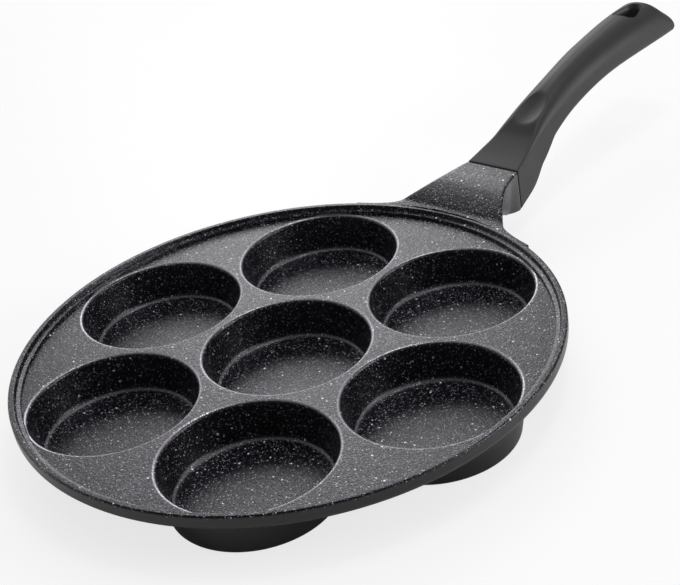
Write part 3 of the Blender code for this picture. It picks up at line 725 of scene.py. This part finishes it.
def phenolic():
    """A clouded dark grey, with the mould's grain in gloss and relief."""
    material = blank("matt_phenolic_moulding")
    place = add(material, "ShaderNodeTexCoord").outputs["Object"]
    grain = add(material, "ShaderNodeTexNoise",
                values={"Scale": 1000 / MOULD_GRAIN_SIZE, "Detail": 3.0}, links={"Vector": place})
    cloud = add(material, "ShaderNodeTexNoise",
                values={"Scale": 1000 / BLOOM_SIZE, "Detail": 3.0}, links={"Vector": place})
    body = add(material, "ShaderNodeMix", {"data_type": "RGBA"},
               {"A": linear("#2a292a"), "B": linear("#343334")}, {"Factor": cloud.outputs["Fac"]})
    gloss = add(material, "ShaderNodeMapRange", values={"To Min": 0.44, "To Max": 0.56},
                links={"Value": grain.outputs["Fac"]})
    relief = add(material, "ShaderNodeBump",
                 values={"Strength": 0.3, "Distance": MOULD_GRAIN_RELIEF * MM},
                 links={"Height": grain.outputs["Fac"]})
    shader = add(material, "ShaderNodeBsdfPrincipled", values={"IOR": 1.5},
                 links={"Base Color": body.outputs["Result"],
                        "Roughness": gloss.outputs["Result"],
                        "Normal": relief.outputs["Normal"]})
    add(material, "ShaderNodeOutputMaterial", links={"Surface": shader.outputs["BSDF"]})
    return material


PHENOLIC = phenolic()
handle = solid_from("moulded_handle", [(with_recess(closed_ends(handle_rings)), 0)], [PHENOLIC])


# The hanging hole and the screw's counterbore, cut out of the moulding. The hole has a straight
# side towards the pan, a narrower far end and a worn edge; the counterbore is round.
HOLE_START = HANDLE_LENGTH - 29.5
HOLE_LENGTH = 15.0
HOLE_HALF_WIDTH = 6.5
HOLE_CORNER = 2.6
HOLE_FAR_RADIUS = 4.0
HOLE_STEPS = 96
HOLE_ROWS = (  # height above the table, and how much wider the plug is there
    (40.0, 2.6), (47.2, 1.4), (48.0, 0.6), (49.2, 0.12), (50.5, 0.0),
    (62.0, 0.0), (63.2, 0.12), (64.4, 0.6), (65.2, 1.4), (70.0, 4.0))
TONGUE_SLOPE = math.radians(26)
TONGUE_MIDDLE = COLLAR_TOP - COLLAR_HEIGHT / 2 + 1.3
SCREW_SETBACK = 7.0
COUNTERBORE_RADIUS = 5.3
COUNTERBORE_STEPS = 64
COUNTERBORE_END = 30.0
SEAT_DEPTH = 5.1


def hole_outline(grown):
    """Belt round three circles: for each direction, the circle that reaches out most carries
    the point, grown outwards."""
    turn = 2 * math.pi * (np.arange(HOLE_STEPS) + 0.5) / HOLE_STEPS
    side = HOLE_HALF_WIDTH - HOLE_CORNER
    circles = np.array([(-side, HOLE_START + HOLE_CORNER, HOLE_CORNER),
                        (side, HOLE_START + HOLE_CORNER, HOLE_CORNER),
                        (0, HOLE_START + HOLE_LENGTH - HOLE_FAR_RADIUS, HOLE_FAR_RADIUS)])
    reach = circles[:, :1] * np.cos(turn) + circles[:, 1:2] * np.sin(turn) + circles[:, 2:]
    chosen = circles[reach.argmax(0)]
    radius = chosen[:, 2] + grown
    return np.stack([chosen[:, 0] + radius * np.cos(turn),
                     chosen[:, 1] + radius * np.sin(turn)], 1)


def cut(piece, tool):
    """Cuts the tool out of the piece for good, and takes the tool away."""
    modifier = piece.modifiers.new("cut", "BOOLEAN")
    modifier.operation = "DIFFERENCE"
    modifier.object = tool
    evaluated = piece.evaluated_get(bpy.context.evaluated_depsgraph_get())
    mesh = bpy.data.meshes.new_from_object(evaluated)
    piece.modifiers.clear()
    piece.data = mesh
    bpy.data.objects.remove(tool)


plug_rings = []
for height, grown in HOLE_ROWS:
    outline = hole_outline(grown)
    plug_rings.append(np.stack([outline[:, 0], COLLAR_FACE + outline[:, 1],
                                np.full(HOLE_STEPS, height)], 1))
cut(handle, solid_from("hole_plug", [(closed_ends(np.array(plug_rings)), 0)], [PHENOLIC]))

turn = 2 * math.pi * np.arange(COUNTERBORE_STEPS) / COUNTERBORE_STEPS
x = COUNTERBORE_RADIUS * np.cos(turn)
y = SCREW_SETBACK + COUNTERBORE_RADIUS * np.sin(turn)
bore_rings = []
for height in (-SEAT_DEPTH, -COUNTERBORE_END):
    bore_rings.append(np.stack([
        x, COLLAR_FACE + y * math.cos(TONGUE_SLOPE) - height * math.sin(TONGUE_SLOPE),
        TONGUE_MIDDLE + y * math.sin(TONGUE_SLOPE) + height * math.cos(TONGUE_SLOPE)], 1))
cut(handle, solid_from("bore_plug", [(closed_ends(np.array(bore_rings)), 0)], [PHENOLIC]))
handle.data.shade_smooth()
handle.data.set_sharp_from_angle(angle=math.radians(40))
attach(handle, "root")
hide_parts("handle")


# Screw and washers: turned and stamped steel, zinc plated. They sit in the handle's
# counterbore, under the tongue. Satin and faintly blue, with a fine uneven gloss.
PLATING_SIZE = 0.4


def zinc_steel():
    """Plated metal, clouded a little in colour and gloss."""
    material = blank("zinc_plated_steel")
    place = add(material, "ShaderNodeTexCoord").outputs["Object"]
    marks = add(material, "ShaderNodeTexNoise",
                values={"Scale": 1000 / PLATING_SIZE, "Detail": 2.0}, links={"Vector": place})
    plate = add(material, "ShaderNodeMix", {"data_type": "RGBA"},
                {"A": linear("#aeb2b8"), "B": linear("#c9ccd0")}, {"Factor": marks.outputs["Fac"]})
    gloss = add(material, "ShaderNodeMapRange", values={"To Min": 0.24, "To Max": 0.42},
                links={"Value": marks.outputs["Fac"]})
    shader = add(material, "ShaderNodeBsdfPrincipled", values={"Metallic": 1.0},
                 links={"Base Color": plate.outputs["Result"],
                        "Roughness": gloss.outputs["Result"]})
    add(material, "ShaderNodeOutputMaterial", links={"Surface": shader.outputs["BSDF"]})
    return material


ZINC = zinc_steel()
for name in ("handle_screw", "spring_washer", "flat_washer"):
    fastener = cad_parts[name]
    fastener.data.materials.clear()
    fastener.data.materials.append(ZINC)


# Camera: the photograph's own viewpoint, found from the cups and the rim, 45 degrees round from
# the handle and 30 degrees up, turned 10 degrees about its axis.
azimuth = math.radians(44.97)
elevation = math.radians(30.14)
roll = math.radians(-10.23)
stand = np.array([0.47010623, -0.42994762, 0.39195777 + DECK_TOP * MM])
backward = np.array([math.sin(azimuth) * math.cos(elevation),
                     -math.cos(azimuth) * math.cos(elevation), math.sin(elevation)])
level = np.cross([0, 0, 1], backward)
level /= np.linalg.norm(level)
upward = np.cross(backward, level)
right = math.cos(roll) * level + math.sin(roll) * upward
top = -math.sin(roll) * level + math.cos(roll) * upward
lens = bpy.data.cameras.new("photo_camera")
lens.sensor_width = 36.0
lens.lens = 85.31
lens.clip_start = 0.01
camera = bpy.data.objects.new("photo_camera", lens)


def placed(x_axis, y_axis, z_axis, place):
    """The matrix of an object at a place, from the directions of its own three axes."""
    columns = np.column_stack([x_axis, y_axis, z_axis, place])
    return Matrix([[*row] for row in columns] + [[0, 0, 0, 1]])


camera.matrix_world = placed(right, top, backward, stand)
bpy.context.scene.collection.objects.link(camera)
bpy.context.scene.camera = camera


# Floor: a pale table without an edge in view. To the camera it is three quarters white and
# one quarter its lit colour, which keeps it white and the object's shadow soft.
FLOOR_REACH = 6
FLOOR_WHITE = 0.76


def pale_floor():
    """Satin white laminate, mixed with plain white where the camera looks at it."""
    material = blank("white_laminate")
    place = add(material, "ShaderNodeTexCoord").outputs["Object"]
    cloud = add(material, "ShaderNodeTexNoise", values={"Scale": 30.0, "Detail": 2.0},
                links={"Vector": place})
    tone = add(material, "ShaderNodeMix", {"data_type": "RGBA"},
               {"A": linear("#f2f2f2"), "B": linear("#f6f6f6")}, {"Factor": cloud.outputs["Fac"]})
    lit = add(material, "ShaderNodeBsdfPrincipled", values={"Roughness": 0.35, "IOR": 1.4},
              links={"Base Color": tone.outputs["Result"]})
    seen = add(material, "ShaderNodeLightPath")
    white = add(material, "ShaderNodeEmission", values={"Color": (1, 1, 1, 1), "Strength": 1.0})
    share = add(material, "ShaderNodeMath", {"operation": "MULTIPLY"}, {1: FLOOR_WHITE},
                {0: seen.outputs["Is Camera Ray"]})
    surface = add(material, "ShaderNodeMixShader",
                  links={0: share.outputs[0], 1: lit.outputs["BSDF"],
                         2: white.outputs["Emission"]})
    add(material, "ShaderNodeOutputMaterial", links={"Surface": surface.outputs["Shader"]})
    return material


table = bpy.data.meshes.new("table")
table.from_pydata([(-FLOOR_REACH, -FLOOR_REACH, 0), (FLOOR_REACH, -FLOOR_REACH, 0),
                   (FLOOR_REACH, FLOOR_REACH, 0), (-FLOOR_REACH, FLOOR_REACH, 0)],
                  [], [(0, 1, 2, 3)])
table.materials.append(pale_floor())
floor = bpy.data.objects.new("table", table)
bpy.context.scene.collection.objects.link(floor)


# Light: a pale studio all round, white to the camera. Gloss and glass see it with a dark
# ceiling and dark flags at the right and in front. Its fill comes from behind the pan, and
# three soft boxes light it from above, behind and the right.
world = bpy.data.worlds.new("studio")
world.use_nodes = True
world.node_tree.nodes.clear()
direction = add(world, "ShaderNodeTexCoord").outputs["Generated"]


def brightness_along(axis, start, end, first, last):
    """The studio's brightness, which goes from first to last as the part of the direction
    along an axis goes from start to end."""
    along = add(world, "ShaderNodeVectorMath", {"operation": "DOT_PRODUCT"}, {1: axis},
                {0: direction})
    return add(world, "ShaderNodeMapRange",
               values={"From Min": start, "From Max": end, "To Min": first, "To Max": last},
               links={"Value": along.outputs["Value"]}).outputs["Result"]


ceiling = brightness_along((0.0, 0.0, 1.0), 0.5, 0.76, 1.0, 0.06)
right_flag = brightness_along((0.71, 0.71, -0.8), -0.05, 0.2, 1.0, 0.15)
front_flag = brightness_along((-0.71, 0.71, 0.0), 0.0, 0.5, 0.15, 1.0)
fill = brightness_along((-0.6, 0.7, 0.4), -0.6, 0.8, 0.06, 0.88)
flags = add(world, "ShaderNodeMath", {"operation": "MULTIPLY"},
            links={0: right_flag, 1: front_flag})
shaded = add(world, "ShaderNodeMath", {"operation": "MULTIPLY"},
             links={0: flags.outputs[0], 1: ceiling})
seen = add(world, "ShaderNodeLightPath")
gloss_level = add(world, "ShaderNodeMath", {"operation": "MAXIMUM"},
                  links={0: seen.outputs["Is Camera Ray"], 1: shaded.outputs[0]})
camera_or_gloss = add(world, "ShaderNodeMath", {"operation": "MAXIMUM"},
                      links={0: seen.outputs["Is Camera Ray"], 1: seen.outputs["Is Glossy Ray"]})
looked_at = add(world, "ShaderNodeMath", {"operation": "MAXIMUM"},
                links={0: camera_or_gloss.outputs[0], 1: seen.outputs["Is Transmission Ray"]})
strength = add(world, "ShaderNodeMix", {"data_type": "FLOAT"},
               links={"Factor": looked_at.outputs[0], "A": fill, "B": gloss_level.outputs[0]})
sky = add(world, "ShaderNodeBackground", values={"Color": (1, 1, 1, 1)},
          links={"Strength": strength.outputs["Result"]})
add(world, "ShaderNodeOutputWorld", links={"Surface": sky.outputs["Background"]})
bpy.context.scene.world = world


def soft_box(name, place, aim, width, height, power):
    """A rectangular lamp at a place, turned to face a point, in metres and watts."""
    lamp = bpy.data.lights.new(name, "AREA")
    lamp.shape = "RECTANGLE"
    lamp.size = width
    lamp.size_y = height
    lamp.energy = power
    box = bpy.data.objects.new(name, lamp)
    out = np.array(place, float) - np.array(aim, float)
    out /= np.linalg.norm(out)
    side = np.cross([0, 0, 1], out)
    side /= np.linalg.norm(side)
    box.matrix_world = placed(side, np.cross(out, side), out, place)
    bpy.context.scene.collection.objects.link(box)


soft_box("overhead", (0.1, 0.4, 1.3), (0, 0, 0), 0.35, 0.35, 3)
soft_box("behind", (-1.05, 1.02, 0.8), (0, 0.1, 0), 0.6, 0.7, 4.4)
soft_box("from_right", (1.2, 0.7, 0.5), (0, 0.1, 0), 0.8, 0.5, 10)

bpy.context.scene.view_settings.view_transform = "Standard"
